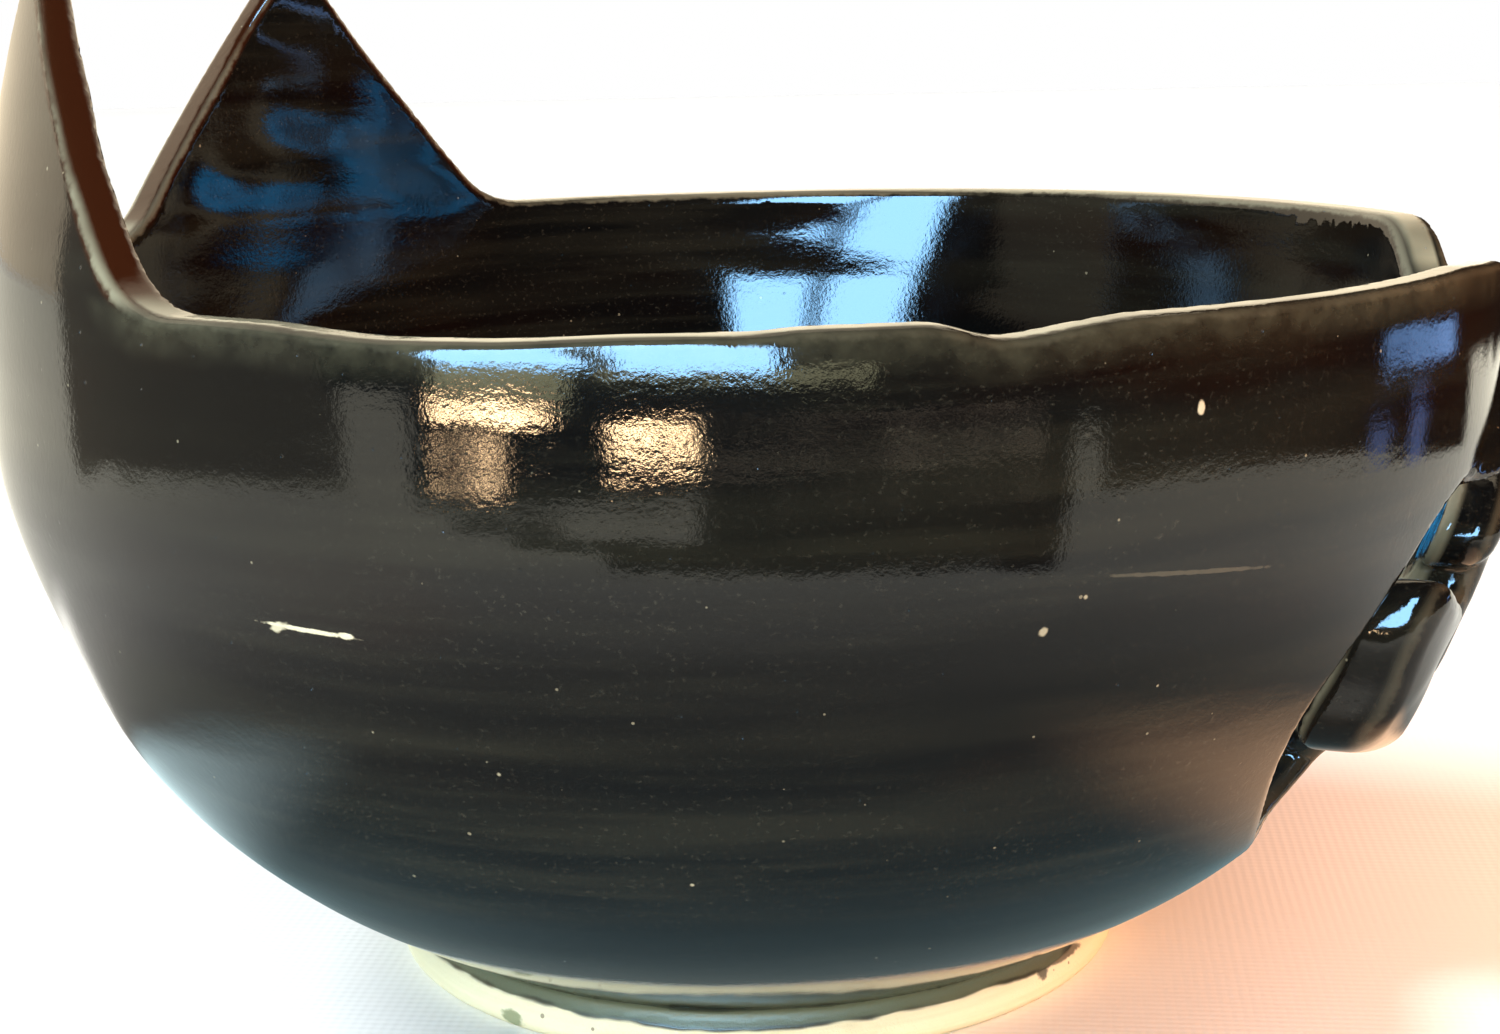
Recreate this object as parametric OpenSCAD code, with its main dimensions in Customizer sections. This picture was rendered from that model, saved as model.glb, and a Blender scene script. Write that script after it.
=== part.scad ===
// Cat-shaped yarn bowl: a thrown, turned and glazed stoneware bowl with two ears on the rim
// and a curled tail that hooks into the yarn slot cut through the wall.
// Millimetres, +Z up. The origin is the centre of the foot, on the table. The cat's face
// looks along -X, so the ears stand at the -X side and the tail is at the +X side.
// Azimuths are degrees anticlockwise from +X, seen from above.

/* [Bowl] */
// Outer radius at the rim
rim_r = 78.7; // [76:0.1:81]
// Height of the rim above the table
rim_h = 76.7; // [74:0.1:80]
// Thickness of the wall at the rim
wall_t = 5.2; // [4.6:0.1:6]
// Thickness of the floor above the foot's recess
floor_t = 7; // [6:0.5:8]

/* [Foot] */
// Outer radius of the turned foot ring, on the table
foot_r = 40.3; // [39:0.1:42]
// Width of the foot ring's face on the table
foot_w = 6.6; // [5:0.1:8]
// Height of the foot ring
foot_h = 5; // [4:0.1:6]

/* [Ears] */
// Azimuth between the face direction and the middle of each ear
ear_spread = 35; // [33:0.5:38]
// Width of an ear at the rim
ear_w = 57.6; // [50:0.1:60]
// Height of an ear above the rim
ear_h = 31; // [26:0.5:34]
// Inward lean of an ear from the vertical, in degrees
ear_lean = 12.4; // [8:0.1:16]
// Thickness of an ear
ear_t = 4.8; // [4:0.1:5.2]
// Radius of an ear's rounded tip
ear_tip_r = 3; // [2:0.1:4]

/* [Yarn slot and tail] */
// Azimuth that the slot is cut towards
slot_az = 345; // [343:1:347]
// How far the tail stands proud of the wall
tail_proud = 4; // [3:0.1:4.5]
// How deep the tail's free end reaches in from the wall's outer face
tail_depth = 4; // [3:0.1:5]
// How far the tail may stand out past the rim, where its root fades into the wall
tail_reach = 1.5; // [1:0.1:2]

/* [Hidden] */
$fn = 96;

lip_r = wall_t / 2;              // the rim's rounding
lip_z = rim_h - lip_r;           // where the rounding starts
floor_z = foot_h + floor_t;      // top of the floor, inside
curve_steps = 3;                 // straight pieces between two points of a smooth curve
lip_steps = 6;                   // straight pieces round half a lip or an ear's tip
cutter_r = 120;                  // past the outside of the bowl
glaze = [0.07, 0.075, 0.08];
bare_clay = [0.86, 0.8, 0.66];

// Outer face of the wall, from the foot to the rim: [share of the rim radius, share of the height]
outer_shape = [
    [0.494, 0], [0.601, 0.07], [0.694, 0.14], [0.765, 0.21], [0.862, 0.35],
    [0.919, 0.49], [0.963, 0.63], [0.992, 0.77], [0.999, 0.9], [1, 1],
];
// Inner face, from the middle of the floor to the rim, as shares of the inner radius and depth
inner_shape = [
    [0, 0], [0.24, 0.003], [0.43, 0.025], [0.59, 0.08], [0.69, 0.145], [0.765, 0.22],
    [0.85, 0.345], [0.91, 0.485], [0.956, 0.63], [0.987, 0.79], [1, 1],
];
// The yarn slot, seen along slot_az: [across, height]. Its near edge comes in over the rim,
// curls over the tail, round its tip and back under it, and ends at the tail's root.
near_edge = [
    [25.8, 84], [25.8, 77], [24.6, 71], [19, 65], [12, 60], [4, 56.6], [-4, 55.2],
    [-12, 54.8], [-18, 52], [-23, 46], [-27, 40], [-28, 34.5], [-26.3, 30.5], [-23, 26.8],
    [-18, 23], [-11, 20], [-3, 18.6], [4, 19.2], [8, 22],
];
// Its far edge, from the tail's root up to the rim
far_edge = [
    [8, 43.5], [4.5, 45], [3.5, 48], [6, 51], [13, 54], [21, 59], [28, 65], [33, 70],
    [36.5, 74], [38, 79], [38, 84],
];
// The tail: its free end in the slot, rising to the tip, and its root on the wall past tail_root
tail_root = 8;
tail_edge = [
    [-15.5, 30.2], [-18.6, 32], [-19.4, 38], [-19.4, 45], [-17.5, 47.6], [-13, 46.6],
    [-6, 44], [2, 41.6], [8, 41], [11, 47], [14, 53], [20, 57], [25, 55], [25.5, 46],
    [22, 36], [16, 28.5], [9, 25], [2, 25.4], [-6, 27.4],
];
// The near lip of the slot droops: [across, height] of its top, up to the slot's mouth
droop_edge = [[-14, 0], [4, -1.3], [18, -3], [26, -4.6]];

// A point on the curve that runs smoothly from b to c, with a before and d after
function between(a, b, c, d, t) =
    (2 * b + (c - a) * t + (2 * a - 5 * b + 4 * c - d) * t * t + (3 * b - a - 3 * c + d) * t * t * t) / 2;
function clamped(i, n) = max(0, min(n - 1, i));
// A smooth open curve through the points
function open_curve(p) = let (n = len(p)) concat(
    [for (i = [0:n - 2], k = [0:curve_steps - 1])
        between(p[clamped(i - 1, n)], p[i], p[i + 1], p[clamped(i + 2, n)], k / curve_steps)],
    [p[n - 1]]);
// A smooth closed curve through the points
function closed_curve(p) = let (n = len(p))
    [for (i = [0:n - 1], k = [0:curve_steps - 1])
        between(p[(i + n - 1) % n], p[i], p[(i + 1) % n], p[(i + 2) % n], k / curve_steps)];
function reversed(p) = [for (i = [len(p) - 1:-1:0]) p[i]];

outer_curve = open_curve([for (s = outer_shape)
    [s[0] * rim_r, foot_h + s[1] * (lip_z - foot_h)]]);
inner_curve = open_curve([for (s = inner_shape)
    [s[0] * (rim_r - wall_t), floor_z + s[1] * (lip_z - floor_z)]]);
lip_arc = [for (i = [1:2 * lip_steps - 1]) let (a = 90 * i / lip_steps)
    [rim_r - lip_r + lip_r * cos(a), lip_z + lip_r * sin(a)]];

// Everything inside the wall's outer face, grown outwards by extra
module round_solid(extra = 0) {
    rotate_extrude()
        polygon(concat([[0, foot_h]], [for (p = outer_curve) [p[0] + extra, p[1]]],
            [[0, lip_z]]));
}

// A flat outline, extruded outwards from the bowl's axis at an azimuth
module outwards(azimuth, outline) {
    rotate([0, 0, azimuth])
        rotate([90, 0, 90])
            linear_extrude(cutter_r)
                polygon(outline);
}

module ear_sector(side, outline) {
    outwards(180 + side * ear_spread, outline);
}

module slot() {
    outwards(slot_az, concat(open_curve(near_edge), open_curve(far_edge)));
}

// What the rim's rounding takes off, all round but under the ears
module lip_rounding() {
    difference() {
        rotate_extrude()
            polygon(concat([[rim_r + 1, lip_z], [rim_r, lip_z]], lip_arc,
                [[rim_r - wall_t, lip_z], [rim_r - wall_t - 1, lip_z],
                [rim_r - wall_t - 1, rim_h + 1], [rim_r + 1, rim_h + 1]]));
        for (side = [-1, 1])
            ear_sector(side, [[-ear_w / 2, lip_z - 1], [ear_w / 2, lip_z - 1],
                [ear_w / 2, rim_h + 2], [-ear_w / 2, rim_h + 2]]);
    }
}

module near_lip_droop() {
    outwards(slot_az, concat([for (p = droop_edge) [p[0], rim_h + p[1]]],
        [[26, rim_h + 5], [-14, rim_h + 5]]));
}

module bowl_wall() {
    color(glaze)
        difference() {
            rotate_extrude()
                polygon(concat([[0, foot_h]], outer_curve,
                    [[rim_r, rim_h], [rim_r - wall_t, rim_h]], reversed(inner_curve)));
            lip_rounding();
            near_lip_droop();
            slot();
        }
}

module foot_ring() {
    color(bare_clay)
        rotate_extrude()
            polygon([
                [foot_r - foot_w, 0], [foot_r - 0.8, 0], [foot_r, 0.9],
                [outer_shape[0][0] * rim_r, foot_h], [foot_r - foot_w - 1.2, foot_h],
            ]);
}

// An ear seen from outside: it stands on the rim, with straight sides up to a rounded tip
function ear_outline() = let (
    // how far the tip's arc turns on each side before a straight side leaves it
    turn = atan2(ear_h - ear_tip_r, ear_w / 2) + asin(ear_tip_r / norm([ear_h - ear_tip_r, ear_w / 2])),
    tip_z = rim_h + ear_h - ear_tip_r)
    concat(
        [[-ear_w / 2, rim_h], [ear_w / 2, rim_h]],
        [for (i = [-lip_steps:lip_steps]) let (a = 90 + i * turn / lip_steps)
            [ear_tip_r * cos(a), tip_z + ear_tip_r * sin(a)]]);

module ear(side) {
    lean = tan(ear_lean) * ear_h;
    color(glaze)
        intersection() {
            rotate_extrude()
                polygon([
                    [rim_r - ear_t, rim_h], [rim_r, rim_h],
                    [rim_r - lean, rim_h + ear_h], [rim_r - ear_t - lean, rim_h + ear_h],
                ]);
            ear_sector(side, ear_outline());
        }
}

module ear_left() {
    ear(1);
}

module ear_right() {
    ear(-1);
}

module tail_hook() {
    color(glaze)
        difference() {
            intersection() {
                round_solid(tail_proud);
                cylinder(r = rim_r + tail_reach, h = rim_h);
                outwards(slot_az, closed_curve(tail_edge));
            }
            round_solid(-tail_depth);
            intersection() {
                round_solid();
                rotate([0, 0, slot_az])
                    translate([0, tail_root, 0])
                        cube([cutter_r, cutter_r, rim_h]);
            }
        }
}

bowl_wall();
foot_ring();
ear_left();
ear_right();
tail_hook();
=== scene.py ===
"""The looks of a black-glazed, cat-shaped yarn bowl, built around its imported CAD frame.

The whole pot is one smooth distance field in millimetres: a thrown wall, cut by the rim, the ears'
outline and the yarn slot, with the curled tail laid on it. The field is meshed, then cut into the
five pieces that the frame names. Azimuths are degrees anticlockwise from +X, seen from above.
"""

import math

import bmesh
import bpy
import numpy as np
from mathutils import Matrix, Vector


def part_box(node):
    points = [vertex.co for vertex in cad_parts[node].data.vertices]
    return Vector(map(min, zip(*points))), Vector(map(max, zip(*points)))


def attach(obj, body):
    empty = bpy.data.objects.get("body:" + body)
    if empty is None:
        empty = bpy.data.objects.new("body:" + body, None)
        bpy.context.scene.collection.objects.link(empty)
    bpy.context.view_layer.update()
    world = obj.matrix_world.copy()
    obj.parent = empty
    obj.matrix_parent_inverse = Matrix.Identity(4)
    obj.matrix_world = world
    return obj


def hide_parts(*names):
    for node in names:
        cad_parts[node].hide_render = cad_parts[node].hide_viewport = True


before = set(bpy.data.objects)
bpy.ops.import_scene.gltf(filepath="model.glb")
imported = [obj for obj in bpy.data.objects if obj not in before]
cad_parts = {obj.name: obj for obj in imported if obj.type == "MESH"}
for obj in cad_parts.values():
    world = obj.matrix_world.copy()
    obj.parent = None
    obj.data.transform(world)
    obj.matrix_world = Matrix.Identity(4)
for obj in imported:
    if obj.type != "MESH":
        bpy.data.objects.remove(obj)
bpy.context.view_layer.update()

MM = 0.001


# ---------------------------------------------------------------- sizes, in millimetres

def box_mm(node):
    """Lowest and highest corner of a CAD node, in millimetres."""
    return [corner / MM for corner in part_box(node)]


wall_low, wall_high = box_mm("bowl_wall")
foot_high = box_mm("foot_ring")[1]

RIM_R = (wall_high.y - wall_low.y) / 2
RIM_Z = wall_high.z
FOOT_R = foot_high.x
FOOT_Z = foot_high.z
EAR_TOP = box_mm("ear_left")[1].z

WALL_T = 5.2                 # thickness of the wall at the rim
FLOOR_Z = FOOT_Z + 7         # top of the floor, inside
FOOT_W = 6.6                 # width of the foot ring
RECESS_Z = FOOT_Z + 0.7      # underside of the floor, inside the foot ring
CUT_R = 2.4                  # rounding of the slot's edges, toward the outer face
LIP_R = 1.05                 # and of the rim and the ears' edges
LIP_IN_R = 1.2               # rounding of all of them toward the inner face
RIM_FLARE = 1.0              # how much thinner the wall gets at the rim, on its inner side
RIM_WARP = 0.9               # and how far its inner face wavers there
EAR_LEAN = 0.22              # inward lean of the ears, per millimetre of height
EAR_THINS = 0.008            # share of their thickness that they lose, per millimetre of height
EAR_UPRIGHT = 0.05           # how much less the right ear leans
EAR_AZ = {"left": 215, "right": 145}
EAR_BACK_SLOPE = 1.088       # rise of an ear's edge on the tail's side, to each millimetre across
EAR_FACE_SLOPE = 1.225       # and of its edge on the cat's face's side
EAR_BACK = {"left": 3, "right": 1.6}      # how far those edges are moved from the ear's middle
EAR_FACE = {"left": 6.2, "right": 9.0}
EAR_TIP = 3.9                # how far below the ear's top its edges are measured from
EAR_TIP_ROUND = 3.6          # over how much of its edges the tip is rounded
NEAR_EAR_THIN = 0.9          # how much thinner the wall is in the left ear
SLOT_AZ = 345
TAIL_HALF = 3.6              # half the tail's thickness
TAIL_IN = 0.5                # how far its middle lies inside the wall's outer face
TAIL_R = 2.4                 # rounding of the tail's edges
TAIL_SEAM = 6                # where the tail joins the wall, along the slot's own axis
EAR_SEAM = RIM_Z + 1         # where the ears join the wall

# Share of the rim's radius, and of the height from the foot to the rim
OUTER_SHAPE = [(0.494, 0), (0.601, 0.07), (0.694, 0.14), (0.765, 0.21), (0.862, 0.35),
               (0.919, 0.49), (0.963, 0.63), (0.992, 0.77), (0.999, 0.9), (1, 1)]
INNER_SHAPE = [(0, 0), (0.24, 0.003), (0.43, 0.025), (0.59, 0.08), (0.69, 0.145),
               (0.765, 0.22), (0.85, 0.345), (0.91, 0.485), (0.956, 0.63), (0.987, 0.79), (1, 1)]
# The rim's small rises and dips: azimuth, height
RIM_WAVES = [(0, -3.3), (4.3, -4.6), (6, -4.6), (9, 0), (60, 0.1), (120, -0.1), (180, 0.2),
             (205, 0), (239, 0.5), (247, 0.5), (255, -0.4), (263, -0.4), (270, 0), (278, 0),
             (279.5, 0.3), (288.5, 0.3), (290.5, -0.9), (292, -1.2), (295, -0.7), (300, 0),
             (320, -0.1), (335, -0.1), (348, -1.3), (358, -3), (360, -3.3)]
# Outlines seen along the slot's azimuth: across, height
NEAR_EDGE = [(25.8, 90), (25.8, 84), (25.8, 77), (24.6, 71), (19, 65), (12, 60), (4, 56.6),
             (-4, 55.2), (-12, 54.8), (-18, 52), (-23, 46), (-27, 40), (-28, 34.5),
             (-26.3, 30.5), (-23, 26.8), (-18, 23), (-11, 20), (-3, 18.6), (4, 19.2), (8, 22)]
FAR_EDGE = [(8, 43.5), (4.5, 45), (3.5, 48), (6, 51), (13, 54), (21, 59), (28, 65), (33, 70),
            (36.5, 74), (38, 79), (38, 90)]
TAIL_EDGE = [(-15.5, 30.2), (-18.6, 32), (-19.4, 38), (-19.4, 45), (-17.5, 47.6), (-13, 46.6),
             (-6, 44), (2, 41.6), (8, 41), (11, 47), (14, 53), (20, 57), (25, 55), (25.5, 46),
             (22, 36), (16, 28.5), (9, 25), (2, 25.4), (-6, 27.4)]


# ---------------------------------------------------------------- curves and distances

CURVE_STEP = 0.25            # spacing of the points along a curve
TABLE_STEP = 0.25            # spacing of the distance tables


def spline(points, step=CURVE_STEP):
    """Points along the natural cubic spline through points."""
    p = np.array(points, float)
    s = np.r_[0, np.cumsum(np.hypot(*np.diff(p, axis=0).T))]
    h = np.diff(s)
    matrix, right = np.eye(len(p)), np.zeros((len(p), 2))
    for i in range(1, len(p) - 1):
        matrix[i, i - 1:i + 2] = h[i - 1], 2 * (h[i - 1] + h[i]), h[i]
        right[i] = 6 * ((p[i + 1] - p[i]) / h[i] - (p[i] - p[i - 1]) / h[i - 1])
    bend = np.linalg.solve(matrix, right)
    u = np.arange(0, s[-1], step)
    i = np.clip(np.searchsorted(s, u, "right") - 1, 0, len(p) - 2)
    b = ((u - s[i]) / h[i])[:, None]
    a = 1 - b
    curve = a * p[i] + b * p[i + 1]
    return curve + ((a ** 3 - a) * bend[i] + (b ** 3 - b) * bend[i + 1]) * h[i][:, None] ** 2 / 6


def polyline(points, step=CURVE_STEP):
    """Points along the straight stretches between points."""
    p = np.array(points, float)
    s = np.r_[0, np.cumsum(np.hypot(*np.diff(p, axis=0).T))]
    u = np.arange(0, s[-1], step)
    return np.stack([np.interp(u, s, p[:, 0]), np.interp(u, s, p[:, 1])], 1)


def softened(curve, sigma):
    """The curve with its corners rounded by a Gaussian of sigma points."""
    reach = int(4 * sigma)
    weights = np.exp(-0.5 * (np.arange(-reach, reach + 1) / sigma) ** 2)
    weights /= weights.sum()
    padded = np.pad(curve, ((reach, reach), (0, 0)), mode="reflect", reflect_type="odd")
    return np.stack([np.convolve(padded[:, k], weights, "valid") for k in (0, 1)], 1)


def lookup(low, high, distance):
    """A quick bilinear version of distance(points) over the box from low to high."""
    axes = [np.arange(low[k], high[k] + TABLE_STEP, TABLE_STEP) for k in (0, 1)]
    u, v = np.meshgrid(*axes, indexing="ij")
    table = distance(np.stack([u.ravel(), v.ravel()], 1)).reshape(u.shape)

    def look(u, v):
        a = np.clip((u - low[0]) / TABLE_STEP, 0, table.shape[0] - 1.001)
        b = np.clip((v - low[1]) / TABLE_STEP, 0, table.shape[1] - 1.001)
        i, j = a.astype(int), b.astype(int)
        a, b = a - i, b - j
        return ((table[i, j] * (1 - a) + table[i + 1, j] * a) * (1 - b)
                + (table[i, j + 1] * (1 - a) + table[i + 1, j + 1] * a) * b)

    return look


def side_of_curve(curve, side):
    """Signed distance to an open curve, positive on its right when side is 1."""
    tangent = np.gradient(curve, axis=0)
    tangent /= np.hypot(*tangent.T)[:, None]
    normal = side * np.stack([tangent[:, 1], -tangent[:, 0]], 1)
    half_square = (curve ** 2).sum(1) / 2

    def distance(points):
        out = np.empty(len(points))
        for start in range(0, len(points), 4096):
            p = points[start:start + 4096]
            nearest = np.argmin(half_square - p @ curve.T, axis=1)
            out[start:start + 4096] = ((p - curve[nearest]) * normal[nearest]).sum(1)
        return out

    return distance


def outline_distance(outline):
    """Signed distance to a closed outline, negative inside it."""
    ends = np.roll(outline, -1, axis=0)
    along = ends - outline
    square = (along ** 2).sum(1)

    def distance(points):
        best = np.full(len(points), np.inf)
        inside = np.zeros(len(points), bool)
        for start, end, way, size in zip(outline, ends, along, square):
            share = np.clip((points - start) @ way / size, 0, 1)
            best = np.minimum(best, ((points - start - share[:, None] * way) ** 2).sum(1))
            if start[1] != end[1]:
                crosses = (start[1] > points[:, 1]) != (end[1] > points[:, 1])
                at = start[0] + (points[:, 1] - start[1]) * way[0] / (end[1] - start[1])
                inside ^= crosses & (points[:, 0] < at)
        return np.where(inside, -1, 1) * np.sqrt(best)

    return distance


def smooth_min(a, b, k):
    """The smaller of two distances, with the crease between them filled over k millimetres."""
    h = np.maximum(k - np.abs(a - b), 0) / k
    return np.minimum(a, b) - h * h * k / 4


def rounded(a, b, radius):
    """The solid inside both distances, its common edge rounded to radius."""
    u, v = a + radius, b + radius
    corner = np.hypot(np.maximum(u, 0), np.maximum(v, 0))
    return corner + np.minimum(np.maximum(u, v), 0) - radius


def smoothstep(low, high, x):
    """0 below low, 1 above high, smooth between. With low above high it falls instead."""
    x = np.clip((x - low) / (high - low), 0, 1)
    return x * x * (3 - 2 * x)


def ripple(points, seed, wavelength, level=1.0, waves=12):
    """A smooth random relief of about -1 to 1. A level above 1 draws it out round the pot."""
    rng = np.random.default_rng(seed)
    ways = rng.normal(size=(waves, 3))
    ways *= (2 * math.pi / wavelength * rng.uniform(0.6, 1.5, waves)
             / np.linalg.norm(ways, axis=1))[:, None]
    ways[:, :2] /= level
    phase = rng.uniform(0, 2 * math.pi, waves)
    return np.cos(points @ ways.T + phase).sum(1) * math.sqrt(2 / waves) * 0.7


# ---------------------------------------------------------------- the pot's field

def ear_lean_points(gap):
    """The wall's face carried on up into the ears, gap millimetres in from the outer face."""
    rises = (5, 12, 20, 30, 42)
    return [(RIM_R - gap + gap * EAR_THINS * h - EAR_LEAN * (h - 1.2), RIM_Z + h) for h in rises]


def outer_curve():
    """Underside of the floor, foot ring and outer face, from the axis up past the ears."""
    foot_in = FOOT_R - FOOT_W
    under = polyline([(0, RECESS_Z), (foot_in - 5, RECESS_Z - 0.1), (foot_in - 1, RECESS_Z - 1.4),
                      (foot_in, 1.2), (foot_in + 1, 0), (FOOT_R - 0.9, 0), (FOOT_R, 1),
                      (FOOT_R - 0.4, 3.2), (FOOT_R - 1.5, 4.4), (OUTER_SHAPE[0][0] * RIM_R, FOOT_Z)])
    lip_z = RIM_Z - WALL_T / 2
    side = [(r * RIM_R, FOOT_Z + z * (lip_z - FOOT_Z)) for r, z in OUTER_SHAPE]
    return softened(np.concatenate([under, spline(side + ear_lean_points(0))]), 2)


def inner_curve():
    """Top of the floor and inner face, from the axis up past the ears."""
    lip_z = RIM_Z - WALL_T / 2
    side = [(r * (RIM_R - WALL_T), FLOOR_Z + z * (lip_z - FLOOR_Z)) for r, z in INNER_SHAPE]
    return spline(side + ear_lean_points(WALL_T))


PROFILE_BOX = (-1, -6), (92, 124)
SLOT_BOX = (-50, 8), (60, 96)
outer_distance = lookup(*PROFILE_BOX, side_of_curve(outer_curve(), 1))
inner_distance = lookup(*PROFILE_BOX, side_of_curve(inner_curve(), -1))
slot_distance = lookup(*SLOT_BOX, outline_distance(
    np.concatenate([spline(NEAR_EDGE, 0.8), spline(FAR_EDGE, 0.8)])))
tail_distance = lookup(*SLOT_BOX, outline_distance(spline(TAIL_EDGE + TAIL_EDGE[:1], 0.8)))

rim_azimuths = np.arange(0, 360, 0.5)
rim_heights = softened(np.stack([rim_azimuths, np.interp(rim_azimuths, *zip(*RIM_WAVES))], 1), 2)[:, 1]


def rim_height(azimuth):
    """Height of the rim's top at an azimuth, without the ears."""
    return RIM_Z + np.interp(azimuth % 360, rim_azimuths, rim_heights, period=360)


def along_and_across(points, azimuth):
    """Distances along an azimuth and across it, anticlockwise."""
    a = math.radians(azimuth)
    x, y = points[:, 0], points[:, 1]
    return x * math.cos(a) + y * math.sin(a), y * math.cos(a) - x * math.sin(a)


def ear_outline(points, side):
    """Signed distance outside an ear's outline, both edges straight and the tip rounded."""
    along, across = along_and_across(points, EAR_AZ[side])
    face = across if side == "right" else -across
    z = points[:, 2] - (EAR_TOP - EAR_TIP)
    back_edge = (z - EAR_BACK_SLOPE * (face + EAR_BACK[side])) / math.hypot(1, EAR_BACK_SLOPE)
    face_edge = (z + EAR_FACE_SLOPE * (face - EAR_FACE[side])) / math.hypot(1, EAR_FACE_SLOPE)
    outside = -smooth_min(-back_edge, -face_edge, EAR_TIP_ROUND)
    return np.where(along > 20, outside, 60)


def far_lip_bulge(across, z):
    """How far the wall behind the tail was pushed outwards."""
    centre = np.interp(z, [20, 55, 60, 65, 70, 77], [-6, -6, 6, 16, 23, 29])
    far_side = smoothstep(-5, 5, across - centre) * (1 - smoothstep(14, 44, across))
    return 3.8 * far_side * smoothstep(21, 33, z) * (1 - smoothstep(56, 73, z))


def faces(points, radius):
    """Distances to the outer face, the inner face, with the thrower's marks in both."""
    z = points[:, 2]
    shape = ripple(points, 3, 70)
    outer = outer_distance(radius, z) - 0.10 * shape
    inner = inner_distance(radius, z) + 0.10 * shape
    body = smoothstep(FOOT_Z + 1, FOOT_Z + 6, z)
    outer = outer - body * (0.020 * ripple(points, 5, 5.5, 9) + 0.05 * ripple(points, 7, 32))
    in_ear = smoothstep(RIM_Z - 4, RIM_Z + 8, z)
    inner = inner - (0.06 * ripple(points, 11, 8, 8) + 0.16 * ripple(points, 13, 28, 1.5)
                     + 0.22 * in_ear * ripple(points, 17, 15))
    return outer, inner


def rim_flare(azimuth, z):
    """How far the inner face flares outwards below the rim, between one ear and the other."""
    from_face = np.abs(azimuth % 360 - 180)
    rise = np.clip((z - RIM_Z + 17) / 17, 0, 1)
    warp = RIM_WARP * np.sin(np.radians(6 * (azimuth - 81))) * smoothstep(60, 40, np.abs(azimuth - 81))
    return (RIM_FLARE - warp) * rise ** 2 * smoothstep(46, 66, from_face)


def layers(points):
    """Distances to the pot's outer face, inner face and free edge, then the tail's skin and outline."""
    x, y, z = points.T
    radius = np.hypot(x, y)
    azimuth = np.degrees(np.arctan2(y, x))
    along, across = along_and_across(points, SLOT_AZ)
    lopsided = 0.15 * np.cos(np.radians(2 * azimuth - 80)) * smoothstep(FOOT_Z, 40, z)
    bulge = np.where(along > 0, far_lip_bulge(across, z), 0)
    upright = np.where(y > 0, EAR_UPRIGHT, 0) * np.maximum(z - RIM_Z, 0) * (x < 0)
    outer, inner = faces(points, radius - bulge - lopsided - upright)
    near_ear = smoothstep(0, -20, y) * smoothstep(60, 46, np.abs(azimuth % 360 - 180))
    inner = inner + rim_flare(azimuth, z)
    inner = inner + NEAR_EAR_THIN * near_ear * smoothstep(RIM_Z - 6, RIM_Z + 6, z)

    cut = smooth_min(z - rim_height(azimuth), ear_outline(points, "left"), 4)
    cut = smooth_min(cut, ear_outline(points, "right"), 4)
    slot = np.where(along > 20, -slot_distance(across, z), -60)
    cut = -smooth_min(-cut, -slot, 5)
    skin = outer_distance(radius - lopsided, z) - 0.15 * ripple(points, 19, 12) + TAIL_IN
    outline = np.where(along > 20, tail_distance(across, z), 60)
    return outer, inner, cut, skin, outline


def pot_and_tail(points):
    """Signed distances to the thrown pot and to the tail laid on it."""
    outer, inner, cut, skin, outline = layers(points)
    at_rim = smoothstep(RIM_Z - 11, RIM_Z - 5, points[:, 2])
    lip = rounded(outer, cut, CUT_R + (LIP_R - CUT_R) * at_rim)
    return rounded(lip, inner, LIP_IN_R), rounded(np.abs(skin) - TAIL_HALF, outline, TAIL_R)


def field(points):
    """Signed distance to the finished pot, negative inside the clay."""
    return smooth_min(*pot_and_tail(points), 2.5)


# ---------------------------------------------------------------- from the field to meshes

GRID_STEP = 0.8
GRID_LOW = (-83, -82, -1.5)
GRID_HIGH = (85, 82, 110)
WALL_FACES = 190_000         # most triangles in the whole pot


def grid_values():
    """The field at every node of a grid, worked out in full only near the surface."""
    x, y, z = (np.arange(low, high, GRID_STEP) for low, high in zip(GRID_LOW, GRID_HIGH))
    radius = np.hypot(*np.meshgrid(x, y, indexing="ij"))[:, :, None]
    coarse = np.maximum(outer_distance(radius, z), inner_distance(radius, z))
    angle = math.radians(SLOT_AZ)
    toward_slot = x[:, None] * math.cos(angle) + y[None, :] * math.sin(angle) > 40
    near = coarse < np.where(toward_slot[:, :, None], 9.0, 3.0)
    i, j, k = np.nonzero(near)
    coarse[i, j, k] = field(np.stack([x[i], y[j], z[k]], 1))
    return coarse


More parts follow.
